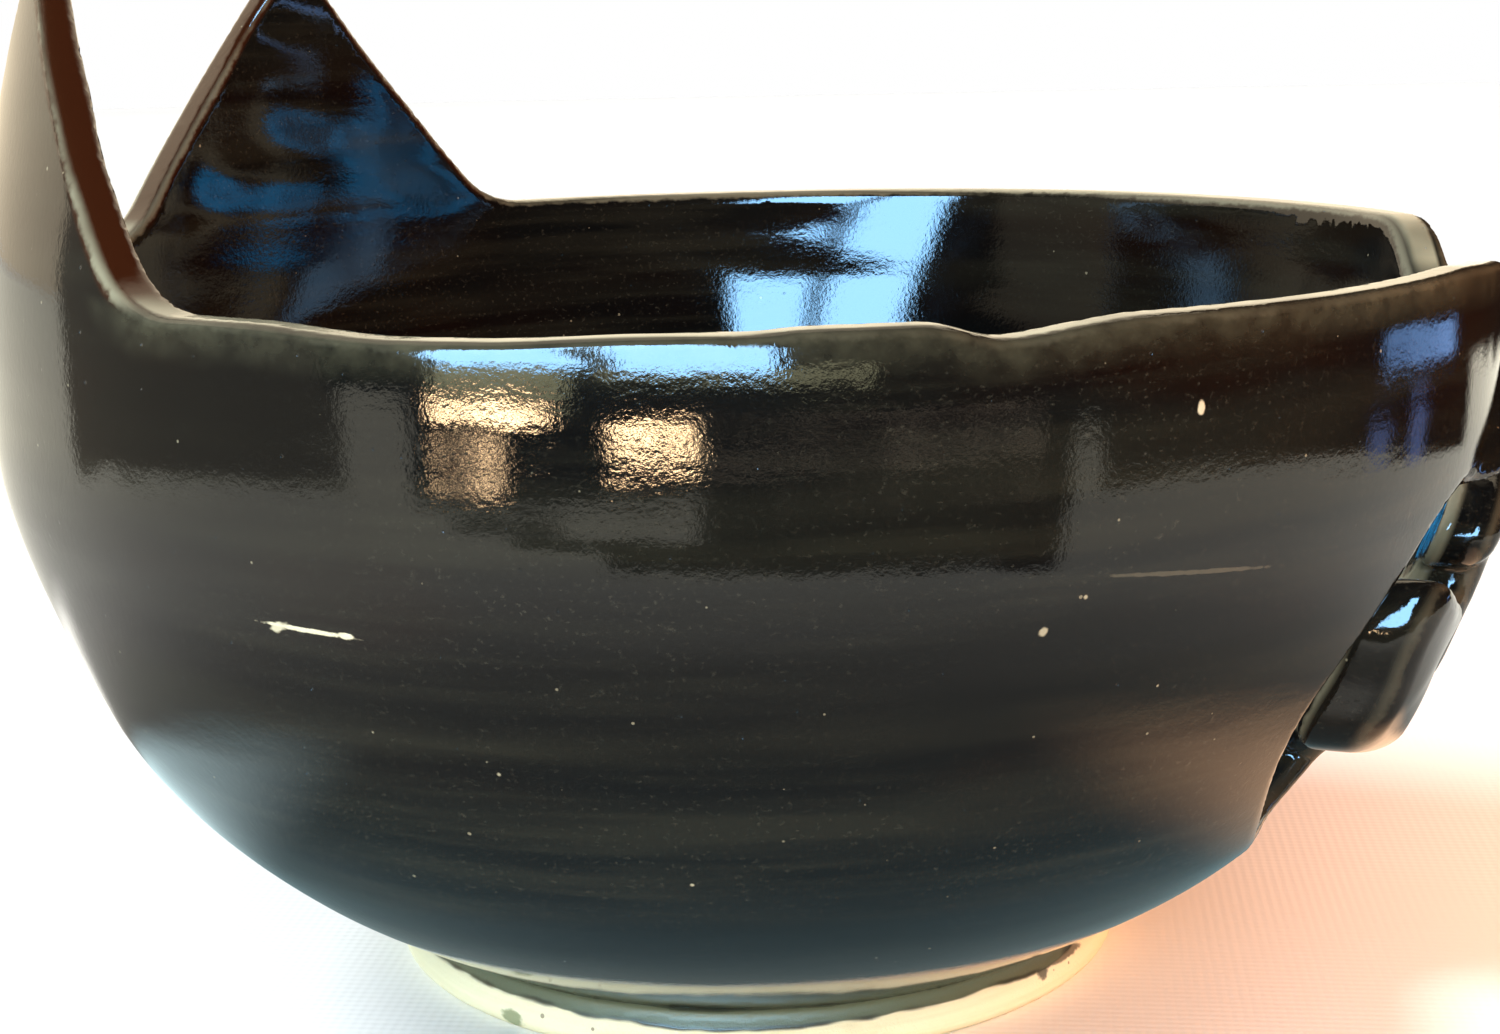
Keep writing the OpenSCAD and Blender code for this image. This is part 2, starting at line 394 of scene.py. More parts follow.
def surface_net(values):
    """Vertices and quads of the zero surface of a grid of values."""
    inside = values < 0
    shape = np.array(values.shape)
    corners = [np.array([a, b, c]) for a in (0, 1) for b in (0, 1) for c in (0, 1)]
    core = [inside[a:shape[0] - 1 + a, b:shape[1] - 1 + b, c:shape[2] - 1 + c]
            for a, b, c in corners]
    total = sum(part.astype(np.int8) for part in core)
    cells = np.argwhere((total > 0) & (total < 8))
    number = np.full(shape - 1, -1, np.int32)
    number[tuple(cells.T)] = np.arange(len(cells))
    at = [values[tuple((cells + corner).T)] for corner in corners]
    place, hits = np.zeros((len(cells), 3)), np.zeros(len(cells))
    for a in range(8):
        for b in range(a + 1, 8):
            if np.abs(corners[a] - corners[b]).sum() != 1:
                continue
            crossed = (at[a] < 0) != (at[b] < 0)
            share = np.where(crossed, at[a] / np.where(crossed, at[a] - at[b], 1), 0)
            place += crossed[:, None] * (corners[a] + share[:, None] * (corners[b] - corners[a]))
            hits += crossed
    vertices = np.array(GRID_LOW) + (cells + place / hits[:, None]) * GRID_STEP
    quads = []
    for axis in range(3):
        one, two = [k for k in range(3) if k != axis]
        first = inside.take(range(shape[axis] - 1), axis)
        second = inside.take(range(1, shape[axis]), axis)
        edges = np.argwhere(first != second)
        leaving = first[tuple(edges.T)] ^ (axis == 1)
        ring = []
        for back_one, back_two in ((1, 1), (0, 1), (0, 0), (1, 0)):
            cell = edges.copy()
            cell[:, one] -= back_one
            cell[:, two] -= back_two
            ring.append(number[tuple(cell.T)])
        ring = np.stack(ring, 1)
        quads.append(np.where(leaving[:, None], ring, ring[:, ::-1]))
    return vertices, np.concatenate(quads)


TETRAHEDRON = np.array([(1, 1, 1), (1, -1, -1), (-1, 1, -1), (-1, -1, 1)])


def slope(points, reach=0.25):
    """The field's gradient."""
    return sum(np.outer(field(points + s * reach), s) for s in TETRAHEDRON) / (4 * reach)


def settle(points, rounds):
    """The points moved onto the surface."""
    for _ in range(rounds):
        way = slope(points)
        size = np.maximum((way ** 2).sum(1), 0.2)
        points = points - (np.clip(field(points), -0.5, 0.5) / size)[:, None] * way
    return points


def mesh_object(name, vertices, polygons):
    """A new object in the scene, made from vertices and the corners of its faces."""
    mesh = bpy.data.meshes.new(name)
    mesh.from_pydata(vertices.tolist(), [], polygons.tolist())
    thing = bpy.data.objects.new(name, mesh)
    bpy.context.scene.collection.objects.link(thing)
    return thing


def fetched(items, name, kind=float, width=1):
    """One property of every item of a mesh, in one flat array."""
    flat = np.empty(len(items) * width, kind)
    items.foreach_get(name, flat)
    return flat


def coordinates(mesh):
    """The mesh's vertices as an array of rows."""
    return fetched(mesh.vertices, "co", width=3).reshape(-1, 3)


def thinned(thing):
    """The object's mesh with fewer triangles where it is nearly flat, settled again."""
    triangles = sum(len(polygon.vertices) - 2 for polygon in thing.data.polygons)
    modifier = thing.modifiers.new("fewer", "DECIMATE")
    modifier.ratio = min(1.0, WALL_FACES / triangles)
    evaluated = thing.evaluated_get(bpy.context.evaluated_depsgraph_get())
    mesh = bpy.data.meshes.new_from_object(evaluated)
    thing.modifiers.clear()
    thing.data = mesh
    mesh.vertices.foreach_set("co", settle(coordinates(mesh), 2).ravel())


def slot_axis(across):
    """The vector that goes across millimetres across the slot, at right angles to its azimuth."""
    a = math.radians(SLOT_AZ)
    return Vector((-math.sin(a), math.cos(a), 0)) * across


# Where the pot is cut apart: a point, the direction across the cut, and the heights it is kept to
SEAMS = [
    (Vector((0, 0, FOOT_Z)), Vector((0, 0, 1)), None),
    (Vector((0, 0, EAR_SEAM)), Vector((0, 0, 1)), None),
    (slot_axis(TAIL_SEAM), slot_axis(1), (20, 44)),
]


def on_seam(point, seam):
    """Whether a point lies on a seam's plane, within the heights it cuts."""
    centre, normal, heights = seam
    flat = abs((point - centre).dot(normal)) < 1e-4
    return flat and (heights is None or (point.x > 40 and heights[0] < point.z < heights[1]))


def cut_apart(thing):
    """Cuts the pot along its seams and returns its loose parts."""
    bm = bmesh.new()
    bm.from_mesh(thing.data)
    for seam in SEAMS:
        centre, normal, heights = seam
        chosen = bm.faces[:]
        if heights:
            chosen = [f for f in bm.faces if f.verts[0].co.x > 40
                      and heights[0] < f.verts[0].co.z < heights[1]
                      and abs((f.verts[0].co - centre).dot(normal)) < 6]
        around = {v for f in chosen for v in f.verts} | {e for f in chosen for e in f.edges}
        bmesh.ops.bisect_plane(bm, geom=chosen + list(around), dist=1e-5,
                               plane_co=centre, plane_no=normal)
        edges = [e for e in bm.edges if all(on_seam(v.co, seam) for v in e.verts)]
        bmesh.ops.split_edges(bm, edges=edges)
    bm.to_mesh(thing.data)
    bm.free()
    bpy.ops.object.select_all(action="DESELECT")
    bpy.context.view_layer.objects.active = thing
    thing.select_set(True)
    bpy.ops.mesh.separate(type="LOOSE")
    return list(bpy.context.selected_objects)


def close_seams(name, parts):
    """One closed object from a piece's loose parts, with a flat face filling each open seam."""
    bm = bmesh.new()
    for part in parts:
        bm.from_mesh(part.data)
        bpy.data.objects.remove(part)
    caps = []
    for seam in SEAMS:
        edges = [e for e in bm.edges if e.is_boundary and all(on_seam(v.co, seam) for v in e.verts)]
        if edges:
            made = bmesh.ops.triangle_fill(bm, edges=edges, use_beauty=True, use_dissolve=False)
            caps += [f for f in made["geom"] if isinstance(f, bmesh.types.BMFace)]
    bmesh.ops.recalc_face_normals(bm, faces=bm.faces[:])
    bmesh.ops.triangulate(bm, faces=[f for f in bm.faces if len(f.verts) > 4])
    marks = bm.faces.layers.bool.new("cap")
    for f in bm.faces:
        f.smooth = True
    for f in caps:
        if f.is_valid:
            f[marks] = True
            f.smooth = False
    thing = mesh_object(name, np.empty((0, 3)), np.empty((0, 4), int))
    bm.to_mesh(thing.data)
    bm.free()
    return thing


def finish_piece(thing):
    """Exact normals from the field, the attributes the glaze uses, and the change to metres."""
    mesh = thing.data
    points = coordinates(mesh)
    normals = slope(points)
    normals /= np.linalg.norm(normals, axis=1)[:, None]
    outer, inner, cut, skin, outline = layers(points)
    pot, tail = pot_and_tail(points)
    on_tail = tail < pot
    values = {"edge": np.where(on_tail, -outline, -cut),
              "through": np.where(on_tail, skin / TAIL_HALF, (outer - inner) / WALL_T)}
    for name, value in values.items():
        value = np.clip(value, -1, 9).astype(np.float32)
        mesh.attributes.new(name, "FLOAT", "POINT").data.foreach_set("value", value)
    mesh.vertices.foreach_set("co", (points * MM).ravel())
    mesh.update()
    corner = fetched(mesh.loops, "vertex_index", int)
    owner = np.repeat(np.arange(len(mesh.polygons)), fetched(mesh.polygons, "loop_total", int))
    capped = fetched(mesh.attributes["cap"].data, "value", bool)[owner]
    flat = fetched(mesh.polygons, "normal", width=3).reshape(-1, 3)[owner]
    custom = np.where(capped[:, None], flat, normals[corner])
    mesh.normals_split_custom_set(custom.tolist())


def name_of(thing):
    """Which piece a loose part is, by where it is."""
    points = coordinates(thing.data)
    low, high = points.min(0), points.max(0)
    if high[2] < FOOT_Z + 0.1:
        return "turned_foot"
    if low[2] > RIM_Z:
        return "left_ear" if high[1] < 0 else "right_ear"
    return "curled_tail" if low[0] > 40 else "thrown_wall"


def make_pieces():
    """The five pieces as Blender objects, by name."""
    vertices, quads = surface_net(grid_values())
    whole = mesh_object("whole", settle(vertices, 1), quads)
    thinned(whole)
    parts = {}
    for part in cut_apart(whole):
        parts.setdefault(name_of(part), []).append(part)
    pieces = {}
    for name in sorted(parts):
        pieces[name] = close_seams(name, parts[name])
        finish_piece(pieces[name])
    return pieces


# ---------------------------------------------------------------- materials

BLACK_GLAZE = (0.0030, 0.0034, 0.0036)
# Painted reflection of the bluish table, mixed into the glaze towards the bottom of the pot
NAVY_TABLE_REFLECTION = (0.0034, 0.0060, 0.0080)
OLIVE_GLAZE = (0.0150, 0.0148, 0.0105)
GRAIN = (0.060, 0.057, 0.042)
BROWN_GLAZE = (0.0062, 0.0025, 0.0014)
EDGE_OLIVE = (0.080, 0.078, 0.050)
CUT_BROWN = (0.030, 0.0085, 0.0032)
EDGE_CREAM = (0.34, 0.33, 0.23)
GLAZE_EDGE = (0.115, 0.130, 0.075)
GLAZE_LINE_DARK = (0.035, 0.033, 0.016)
CLAY = (0.86, 0.80, 0.54)
CLAY_SHADE = (0.68, 0.62, 0.38)
CLAY_STAIN = (0.10, 0.095, 0.05)
CLAY_SPECK = (0.16, 0.10, 0.05)
SKIP_CREAM = (0.62, 0.56, 0.38)
GLAZE_LINE = FOOT_Z + 0.2     # where the glaze stops above the foot
GLAZE_RUN = 1.7               # how much lower it ran on the side away from +Y
# Small flaws in the glaze: azimuth, height, half width, half height, slant in degrees, strength
SKIPS = [(248.7, 51.9, 4.9, 0.24, -3, 1.0), (251.6, 51.75, 0.9, 0.30, 0, 1.0),
         (246.6, 51.9, 1.0, 0.45, 20, 0.8), (304.5, 69.0, 0.38, 0.62, 0, 0.8),
         (294.7, 51.7, 0.45, 0.40, 10, 0.5), (304.9, 55.2, 9.0, 0.22, -5, 0.08)]
# Splashes of glaze on the foot: azimuth, height, half width, half height, slant in degrees, colour
SPLASHES = [(238, 1.3, 1.6, 1.0, 0, (0.20, 0.23, 0.10)),
            (324.2, 3.2, 0.9, 0.9, 0, (0.03, 0.03, 0.02)),
            (330.5, 3.5, 4.2, 0.45, 0, (0.09, 0.07, 0.04))]


class Shader:
    """A node material, with short ways to add to it. Lengths in it are millimetres."""

    def __init__(self, name):
        self.material = bpy.data.materials.new(name)
        self.material.use_nodes = True
        self.tree = self.material.node_tree
        self.surface = self.tree.nodes["Principled BSDF"]
        where = self.tree.nodes.new("ShaderNodeTexCoord").outputs["Object"]
        self.place = self.scaled(where, (1 / MM,) * 3)
        split = self.node("ShaderNodeSeparateXYZ", {0: self.place})
        self.x, self.y, self.z = split.outputs

    def node(self, kind, inputs, **settings):
        """A new node, with each of its inputs set to a value or fed by a socket."""
        made = self.tree.nodes.new(kind)
        for name, value in settings.items():
            setattr(made, name, value)
        for key, value in inputs.items():
            if isinstance(value, bpy.types.NodeSocket):
                self.tree.links.new(value, made.inputs[key])
            else:
                made.inputs[key].default_value = value
        return made

    def math(self, operation, a, b=0.0, clamp=False):
        """One sum, of numbers or sockets."""
        made = self.node("ShaderNodeMath", {0: a, 1: b}, operation=operation, use_clamp=clamp)
        return made.outputs[0]

    def scaled(self, vector, factors):
        made = self.node("ShaderNodeVectorMath", {0: vector, 1: factors}, operation="MULTIPLY")
        return made.outputs[0]

    def noise(self, wavelength, level=1.0, detail=2.0, roughness=0.5, seed=0.0):
        """Noise of 0 to 1. A level above 1 draws it out round the pot, like brush or throwing marks."""
        round_pot = 1 / (wavelength * level)
        moved = self.node("ShaderNodeVectorMath", {0: self.place, 1: (seed * 91, seed * 57, seed * 37)},
                          operation="ADD").outputs[0]
        place = self.scaled(moved, (round_pot, round_pot, 1 / wavelength))
        return self.node("ShaderNodeTexNoise", {"Vector": place, "Scale": 1.0, "Detail": detail,
                                                "Roughness": roughness}).outputs["Fac"]

    def step(self, value, low, high):
        """0 below low, 1 above high, smooth between. With low above high it falls instead."""
        made = self.node("ShaderNodeMapRange", {"Value": value, "From Min": low, "From Max": high},
                         interpolation_type="SMOOTHSTEP")
        return made.outputs["Result"]

    def mix(self, share, a, b):
        """Colour a where share is 0, colour b where it is 1."""
        made = self.node("ShaderNodeMix", {0: share}, data_type="RGBA")
        for socket, colour in ((made.inputs[6], a), (made.inputs[7], b)):
            if isinstance(colour, bpy.types.NodeSocket):
                self.tree.links.new(colour, socket)
            else:
                socket.default_value = (*colour, 1)
        return made.outputs[2]

    def specks(self, spacing, size, seed):
        """Round specks of about size, one to each cell of spacing."""
        place = self.node("ShaderNodeVectorMath", {0: self.scaled(self.place, (1 / spacing,) * 3),
                                                   1: (seed, seed, seed)}, operation="ADD").outputs[0]
        cells = self.node("ShaderNodeTexVoronoi", {"Vector": place, "Scale": 1.0})
        chance = self.node("ShaderNodeSeparateColor", {0: cells.outputs["Color"]}).outputs[0]
        radius = self.math("MULTIPLY", chance, size / spacing)
        return self.step(self.math("SUBTRACT", cells.outputs["Distance"], radius), 0.0, -0.02)

    def flaw(self, azimuth, height, half_width, half_height, slant, strength):
        """A flat spot on the outer face, ragged at its edge."""
        a = math.radians(azimuth)
        rise = RIM_Z - WALL_T / 2 - FOOT_Z
        heights = [0, FOOT_Z - 0.5] + [FOOT_Z + z * rise for _, z in OUTER_SHAPE]
        radii = [FOOT_R - 0.3, FOOT_R - 0.6] + [r * RIM_R for r, _ in OUTER_SHAPE]
        radius = float(np.interp(height, heights, radii))
        local = self.node("ShaderNodeMapping", {
            "Vector": self.place, "Location": (radius * math.cos(a), radius * math.sin(a), height),
            "Rotation": (math.radians(slant), 0, a), "Scale": (3, half_width, half_height)},
            vector_type="TEXTURE").outputs[0]
        away = self.node("ShaderNodeVectorMath", {0: local}, operation="LENGTH").outputs["Value"]
        ragged = self.math("ADD", away, self.math("MULTIPLY", self.noise(0.7, 1.5, 3, 0.6, 3), 1.2))
        return self.math("MULTIPLY", self.step(ragged, 1.75, 1.25), strength)

    def largest(self, values):
        found = values[0]
        for value in values[1:]:
            found = self.math("MAXIMUM", found, value)
        return found


def edge_wear(s):
    """Where the glaze runs thin: on the arrises, along the rim's top, and hazily just below it."""
    edge, through = (s.node("ShaderNodeAttribute", {}, attribute_name=name).outputs["Fac"]
                     for name in ("edge", "through"))
    wander = s.math("MULTIPLY", s.math("SUBTRACT", s.noise(1.6, 1, 3, 0.6, 7), 0.5), 1.1)
    ragged = s.math("ADD", edge, wander)
    ear = s.step(s.z, RIM_Z + 0.3, RIM_Z + 2.2)
    rim = s.math("MULTIPLY", s.step(s.z, RIM_Z - 7, RIM_Z - 4), s.math("SUBTRACT", 1, ear))
    patchy = s.math("MULTIPLY", s.step(s.noise(9, 1, 2, 0.5, 9), 0.35, 0.6), 0.5)
    patchy = s.math("ADD", patchy, 0.5)
    normal = s.node("ShaderNodeNewGeometry", {}).outputs["Normal"]
    upward = s.node("ShaderNodeSeparateXYZ", {0: normal}).outputs[2]
    rim_top = s.math("MULTIPLY", s.step(ragged, 0.7, 0.3), s.step(through, 0.52, 0.34))
    rim_top = s.math("MULTIPLY", rim_top, s.step(through, -0.75, -0.25))
    rim_top = s.math("MULTIPLY", rim_top, s.step(upward, 0.45, 0.75))
    rim_top = s.math("MULTIPLY", s.math("MULTIPLY", rim_top, rim), patchy)
    outer_arris = s.math("MULTIPLY", s.step(ragged, 1.0, 0.4), s.step(through, 0.45, 0.75))
    strength = s.math("ADD", s.math("MULTIPLY", ear, 0.55), 0.10)
    outer_arris = s.math("MULTIPLY", s.math("MULTIPLY", outer_arris, strength), patchy)
    inner_arris = s.math("MULTIPLY", s.step(ragged, 0.9, 0.4), s.step(through, -0.5, -0.8))
    cream = s.largest([rim_top, outer_arris, s.math("MULTIPLY", inner_arris, 0.35)])
    brushed = s.math("MULTIPLY", s.step(s.noise(2.2, 1.2, 3, 0.6, 8), 0.25, 0.75), 0.7)
    haze = s.math("MULTIPLY", s.step(ragged, 4.2, 0.4), s.math("ADD", brushed, 0.3))
    haze = s.math("MULTIPLY", s.math("MULTIPLY", haze, s.step(through, 0.3, 0.8)), rim)
    cut_face = s.math("MULTIPLY", s.step(edge, 1.3, 0.7), ear)
    return cream, haze, cut_face, through


def glaze_colour(s):
    """Black glaze that breaks to olive and cream where it runs thin, and how bare the skips are."""
    cream, haze, cut_face, through = edge_wear(s)
    cloud = s.noise(26, 2.5, 3, 0.55, 1)
    streak = s.noise(2.6, 16, 3, 0.6, 2)
    broad = s.noise(7, 9, 2, 0.5, 4)
    streaks = s.math("MULTIPLY", s.step(streak, 0.42, 0.72), s.step(cloud, 0.36, 0.62))
    streaks = s.math("ADD", streaks, s.math("MULTIPLY", s.step(broad, 0.46, 0.72), 0.6), clamp=True)
    # Bluer towards the bottom: a painted reflection of the bluish table below, not a colour of the glaze
    colour = s.mix(s.step(s.z, 34, 14), BLACK_GLAZE, NAVY_TABLE_REFLECTION)
    near_rim = s.math("MULTIPLY", s.step(s.z, 58, 72), s.step(s.x, 10, 50))
    inside = s.math("MULTIPLY", s.step(through, 0.1, -0.3), s.step(s.x, -20, -50))
    patches = s.math("MULTIPLY", s.step(s.noise(21, 2, 2, 0.5, 19), 0.50, 0.66), 0.45)
    warm = s.math("ADD", s.math("MAXIMUM", near_rim, patches), s.math("MULTIPLY", inside, 0.7), clamp=True)
    warm = s.math("MULTIPLY", warm, s.step(s.noise(13, 2.5, 2, 0.5, 6), 0.36, 0.60))
    colour = s.mix(warm, colour, BROWN_GLAZE)
    colour = s.mix(s.math("MULTIPLY", streaks, 0.75), colour, OLIVE_GLAZE)
    grain = s.step(s.noise(0.42, 1.4, 2, 0.7, 20), 0.56, 0.78)
    grain = s.math("MULTIPLY", grain, s.step(cloud, 0.3, 0.7))
    colour = s.mix(s.math("MULTIPLY", grain, 0.5), colour, GRAIN)
    colour = s.mix(s.math("MULTIPLY", haze, 0.45), colour, EDGE_OLIVE)
    colour = s.mix(cut_face, colour, CUT_BROWN)
    colour = s.mix(cream, colour, EDGE_CREAM)
    small = s.math("MULTIPLY", s.specks(3.2, 0.22, 0.0), 0.5)
    specks = s.largest([small, s.specks(8.0, 0.34, 0.4)])
    colour = s.mix(s.math("MULTIPLY", specks, 0.5), colour, SKIP_CREAM)
    flaws = s.largest([s.flaw(*skip) for skip in SKIPS])
    return s.mix(flaws, colour, SKIP_CREAM), flaws


def clay_colour(s):
    """Bare buff clay with turning lines and iron specks."""
    lines = s.step(s.noise(0.9, 30, 2, 0.5, 11), 0.35, 0.7)
    colour = s.mix(s.math("MULTIPLY", lines, 0.35), CLAY, CLAY_SHADE)
    colour = s.mix(s.step(s.noise(9, 1.5, 3, 0.6, 12), 0.52, 0.75), colour, CLAY_SHADE)
    stain = s.step(s.noise(6.5, 1.2, 4, 0.65, 13), 0.665, 0.74)
    colour = s.mix(s.math("MULTIPLY", stain, 0.75), colour, CLAY_STAIN)
    for azimuth, height, width, tall, slant, tint in SPLASHES:
        colour = s.mix(s.flaw(azimuth, height, width, tall, slant, 0.85), colour, tint)
    return s.mix(s.math("MULTIPLY", s.specks(3.1, 0.3, 0.7), 0.7), colour, CLAY_SPECK)


def stoneware(name):
    """Glaze over clay: clay below the wavering line where the glaze stops, and in the foot's recess."""
    s = Shader(name)
    glaze, flaws = glaze_colour(s)
    clay = clay_colour(s)
    flat = s.scaled(s.place, (1, 1, 0))
    out = s.node("ShaderNodeVectorMath", {0: flat}, operation="LENGTH").outputs["Value"]
    recess = s.step(out, FOOT_R - FOOT_W + 1.5, FOOT_R - FOOT_W)
    waver = s.math("MULTIPLY", s.math("SUBTRACT", s.noise(16, 1, 3, 0.55, 14), 0.5), 1.8)
    runs = s.math("MULTIPLY", s.step(s.y, -10, -25), GLAZE_RUN)
    level = s.math("ADD", s.math("SUBTRACT", s.math("SUBTRACT", s.z, GLAZE_LINE), waver), runs)
    level = s.math("SUBTRACT", level, s.math("MULTIPLY", recess, 3))
    glazed = s.step(level, -0.12, 0.12)
    band = s.math("MULTIPLY", glazed, s.step(level, 2.1, 1.3))
    line = s.math("MULTIPLY", s.step(level, -0.3, -0.05), s.step(level, 0.35, 0.1))
    line = s.math("MULTIPLY", line, s.step(s.noise(8, 1, 2, 0.5, 22), 0.38, 0.55))
    colour = s.mix(glazed, clay, glaze)
    colour = s.mix(band, colour, GLAZE_EDGE)
    colour = s.mix(s.math("MULTIPLY", line, 0.85), colour, GLAZE_LINE_DARK)
    s.tree.links.new(colour, s.surface.inputs["Base Color"])

    bare = s.largest([s.math("SUBTRACT", 1, glazed), s.math("MULTIPLY", flaws, 0.6),
                      s.math("MULTIPLY", band, 0.5)])
    mottle = s.math("MULTIPLY", s.noise(3, 4, 3, 0.6, 15), 0.06)
    gloss = s.math("ADD", mottle, 0.02)
    rough = s.node("ShaderNodeMix", {0: bare, 2: gloss, 3: 0.82}, data_type="FLOAT").outputs[0]
    s.tree.links.new(rough, s.surface.inputs["Roughness"])
    s.surface.inputs["IOR"].default_value = 1.5

    peel = s.math("MULTIPLY", s.noise(0.6, 1, 3, 0.65, 16), 0.014)
    swell = s.math("MULTIPLY", s.noise(2.8, 3, 2, 0.5, 17), 0.022)
    grit = s.math("MULTIPLY", s.math("MULTIPLY", s.noise(0.35, 1, 3, 0.7, 18), bare), 0.10)
    pits = s.math("MULTIPLY", s.specks(2.3, 0.2, 1.3), -0.05)
    height = s.math("ADD", s.math("ADD", peel, swell), s.math("ADD", grit, pits))
    bump = s.node("ShaderNodeBump", {"Height": s.math("MULTIPLY", height, MM), "Distance": 1.0,
                                     "Strength": 1.0})
    s.tree.links.new(bump.outputs[0], s.surface.inputs["Normal"])
    return s.material


def cloth_material():
    """The plain pale table cloth."""
    s = Shader("pale_cloth")
    s.surface.inputs["Base Color"].default_value = (0.86, 0.86, 0.85, 1)
    s.surface.inputs["Roughness"].default_value = 0.95
    s.surface.inputs["Specular IOR Level"].default_value = 0.1
    threads = s.math("ADD", s.math("SINE", s.math("MULTIPLY", s.x, 2 * math.pi / 1.1)),
                     s.math("SINE", s.math("MULTIPLY", s.y, 2 * math.pi / 1.1)))
    height = s.math("MULTIPLY", s.math("ADD", threads, s.noise(1.5, 1, 2, 0.6, 21)), 0.03 * MM)
    bump = s.node("ShaderNodeBump", {"Height": height, "Distance": 1.0, "Strength": 0.3})
    s.tree.links.new(bump.outputs[0], s.surface.inputs["Normal"])
    return s.material


# ---------------------------------------------------------------- camera, stage and light

CAMERA_AZIMUTH = 277
CAMERA_AWAY = 253.5
CAMERA_UP = 99.8
CAMERA_TURN = -0.03
CAMERA_TILT = -11.94
CAMERA_ROLL = -1.32
LENS = 56.14

SKY, LAMP = (0.30, 0.62, 1.0), (1.0, 0.68, 0.38)
SILL, BROWN = (0.72, 0.70, 0.42), (0.85, 0.68, 0.50)
DARK, DARK_BROWN = (0.012, 0.009, 0.007), (0.020, 0.012, 0.009)
PALE_SKY, DEEP_SKY = (0.22, 0.42, 0.85), (0.24, 0.36, 0.80)
# Studio cards that stand on a cylinder round the bowl, seen only by its gloss: azimuths,
# heights and distance in millimetres, colour, strength, softness of the border in millimetres
CARDS = [
    ("flag_left", (176, 229), (5, 400), 292, (0.42, 0.36, 0.26), 0.8, 6),
    ("flag_gap", (226, 239), (38, 400), 291, DARK, 1, 5),
    ("flag_middle", (237, 314), (2, 400), 290, DARK, 1, 3),
    ("flag_step", (308, 324), (14, 400), 292, DARK, 1, 5),
    ("flag_right", (320, 395), (-6, 400), 290, DARK, 1, 5),
    ("flag_far", (390, 424), (24, 400), 292, DARK, 1, 6),
    ("flag_low", (271, 313), (-1, 58), 178, DARK_BROWN, 1, 5),
    ("flag_foot", (261, 275), (-1, 25), 179, DARK_BROWN, 1, 4),
    ("flag_slant", (250, 268), (-2, 13), 215, DARK, 1, 4),
    ("flag_end", (242, 256), (-4, 10), 250, DARK, 1, 4),
    ("band_high", (267, 309), (50.0, 53.8), 176, BROWN, 1, 1.8),
    ("band_middle", (272, 309), (41.5, 47.5), 176, BROWN, 1, 3),
    ("band_low", (280, 309), (34, 37.5), 176, BROWN, 0.5, 2),
    ("pane_left", (241.5, 259.5), (61, 400), 285, SKY, 34, 3),
    ("pane_right", (262, 281), (59, 400), 285, SKY, 34, 3),
    ("sill_left", (241, 257), (43, 63), 286, SILL, 5, 4),
    ("sill_right", (260, 292), (52, 65), 286, SILL, 4, 4),
    ("lamp_left", (240, 255), (29.5, 42), 284, LAMP, 75, 5),
    ("lamp_low", (240, 249), (13.5, 19.5), 284, LAMP, 60, 4),
    ("lamp_right", (261, 274), (21, 30.5), 284, LAMP, 75, 5),
    ("side_pane", (6, 26), (27, 45), 285, PALE_SKY, 3.6, 5),
    ("side_low", (5, 10), (-2, 18), 285, DEEP_SKY, 1.6, 5),
    ("side_thin", (15, 19), (-4, 22), 285, DEEP_SKY, 1.6, 4),
]
# Cloudy glowing cards inside the bowl, seen only by the gloss, which put painted reflections on the far
# ear and the right inner wall
INNER_CARDS = [
    ("swirl", (6, 92), (34, 62), 69, (0.03, 0.45, 1.0), 2.4, 5),
    ("inner_reflection_haze", (60, 130), (62, 72), 69, (0.55, 0.50, 0.36), 0.7, 4),
]
# Brightness of the table in the gloss: radius in millimetres, colour
TABLE_SHADES = [(42, (0.24, 0.31, 0.31)), (56, (0.20, 0.30, 0.32)), (80, (0.19, 0.26, 0.27)),
                (98, (0.20, 0.21, 0.20)), (116, (0.40, 0.39, 0.35)), (140, (0.72, 0.70, 0.64)),
                (165, (0.95, 0.93, 0.84)), (400, (1.5, 1.42, 1.15))]
TABLE_REACH = 400            # radius of the last of them
TABLE_END = 2900             # and of the table
# And its brightness on either side of the foot, and behind the bowl on the left
LEFT_OF_FOOT = (0.95, 1.25, 1.3)
RIGHT_OF_FOOT = (1.7, 1.08, 0.68)
LEFT_BEHIND = (2.0, 1.95, 1.8)
# Lights that the gloss doesn't see: place and the point they face in metres, power, width in
# metres or angle in degrees, colour
LAMPS = [
    ("key", "SUN", (-0.55, 0.15, 0.52), (0, 0, 0), 3.1, 24, (1, 1, 1)),
    ("fill", "AREA", (0.02, -0.6, 0.20), (0, 0, 0.02), 3.0, 0.3, (1, 0.97, 0.90)),
    ("warm", "AREA", (0.24, -0.02, 0.12), (0.06, 0.02, 0), 0.65, 0.08, (1, 0.36, 0.10)),
    ("cool", "AREA", (-0.22, -0.20, 0.16), (-0.05, -0.06, 0), 0.35, 0.10, (0.35, 0.75, 1)),
]
ROOM_LIGHT = 0.52            # strength of the world on the cloth and the bare clay
BACKDROP = 1.4               # its strength behind the bowl, in the gloss
BACKDROP_DARK = 0.02         # and in front of it
BACKDROP_AZ = 118
BACKDROP_COLOUR = (1.0, 0.84, 0.60)


